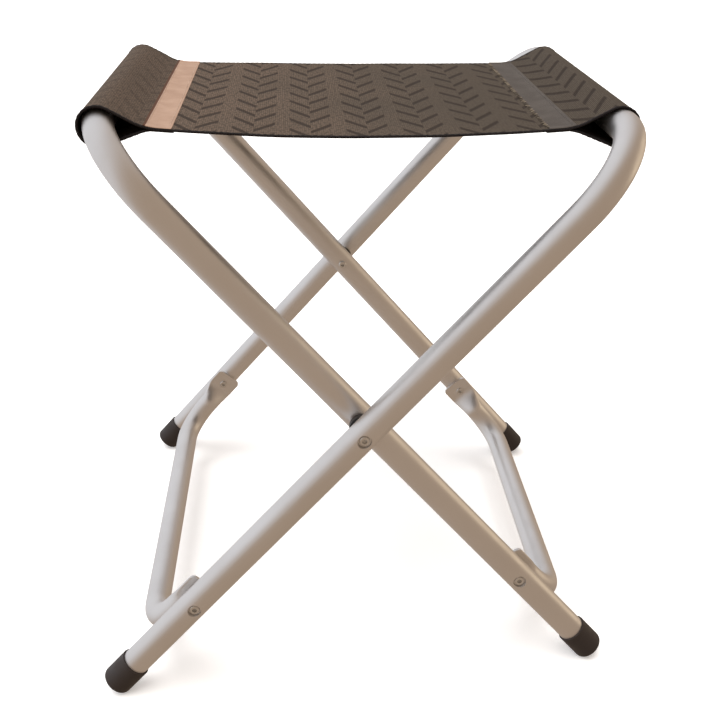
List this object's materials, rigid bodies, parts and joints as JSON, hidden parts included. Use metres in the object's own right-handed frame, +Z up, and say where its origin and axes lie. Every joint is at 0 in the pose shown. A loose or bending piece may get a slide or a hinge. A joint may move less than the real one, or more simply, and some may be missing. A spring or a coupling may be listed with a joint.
{
  "type": "folding camp stool",
  "caption": "Folding X-frame camp stool: crossed bent aluminium tube frames on riveted pivots, U-shaped stretchers, rubber feet and a woven fabric sling seat.",
  "frame": {"origin": "on the floor, under the middle of the stool, with the stool open", "axes": "+X from the inner frame's bar to the outer frame's bar, +Y along the bars to the back, +Z up"},
  "size_m": [0.4078, 0.4086, 0.4515],
  "materials": {
    "frame_tube": "satin anodised",
    "rivet": "bright",
    "spacer": "moulded",
    "foot_rubber": "moulded",
    "sling_cloth": "woven, chevron figure",
    "band_light": "woven tape",
    "band_grey": "woven tape",
    "hem_tape": "woven tape"
  },
  "bodies": {
    "outer_frame": {"outer_frame": "frame_tube", "outer_stretcher": "frame_tube", "pivot_rivet_front": "rivet", "pivot_rivet_back": "rivet", "pivot_spacer_front": "spacer", "pivot_spacer_back": "spacer", "stretcher_rivet_front_left": "rivet", "stretcher_rivet_back_left": "rivet", "foot_front_left": "foot_rubber", "foot_back_left": "foot_rubber"},
    "inner_frame": {"inner_frame": "frame_tube", "inner_stretcher": "frame_tube", "stretcher_rivet_front_right": "rivet", "stretcher_rivet_back_right": "rivet", "foot_front_right": "foot_rubber", "foot_back_right": "foot_rubber"},
    "seat_left": {"seat_sleeve_left": "sling_cloth", "seat_panel_left": "sling_cloth", "seam_band_left": "band_light", "seam_flap_left": "hem_tape", "hem_front_left": "hem_tape", "hem_back_left": "hem_tape"},
    "seat_right": {"seat_sleeve_right": "sling_cloth", "seat_panel_right": "sling_cloth", "seam_band_right": "band_grey", "seam_flap_right": "hem_tape", "hem_front_right": "hem_tape", "hem_back_right": "hem_tape"}
  },
  "joints": [
    {"name": "fold", "type": "hinge", "parent": "outer_frame", "child": "inner_frame", "pos_m": [0, 0, 0.22988], "axis": [0, 1, 0], "range_deg": [0, 76]},
    {"name": "seat_left_hang", "type": "hinge", "parent": "inner_frame", "child": "seat_left", "pos_m": [-0.18246, 0, 0.4383], "axis": [0, 1, 0], "range_deg": [0, 45.15], "deforming": ["seat_sleeve_left", "seat_panel_left", "seam_band_left", "seam_flap_left", "hem_front_left", "hem_back_left"]},
    {"name": "seat_right_hang", "type": "hinge", "parent": "outer_frame", "child": "seat_right", "pos_m": [0.18246, 0, 0.4383], "axis": [0, 1, 0], "range_deg": [-45.15, 0], "deforming": ["seat_sleeve_right", "seat_panel_right", "seam_band_right", "seam_flap_right", "hem_front_right", "hem_back_right"]}
  ],
  "couplings": [
    {"joint": "seat_left_hang", "follows": "fold", "ratio": 0.59385},
    {"joint": "seat_right_hang", "follows": "fold", "ratio": -0.59385}
  ]
}
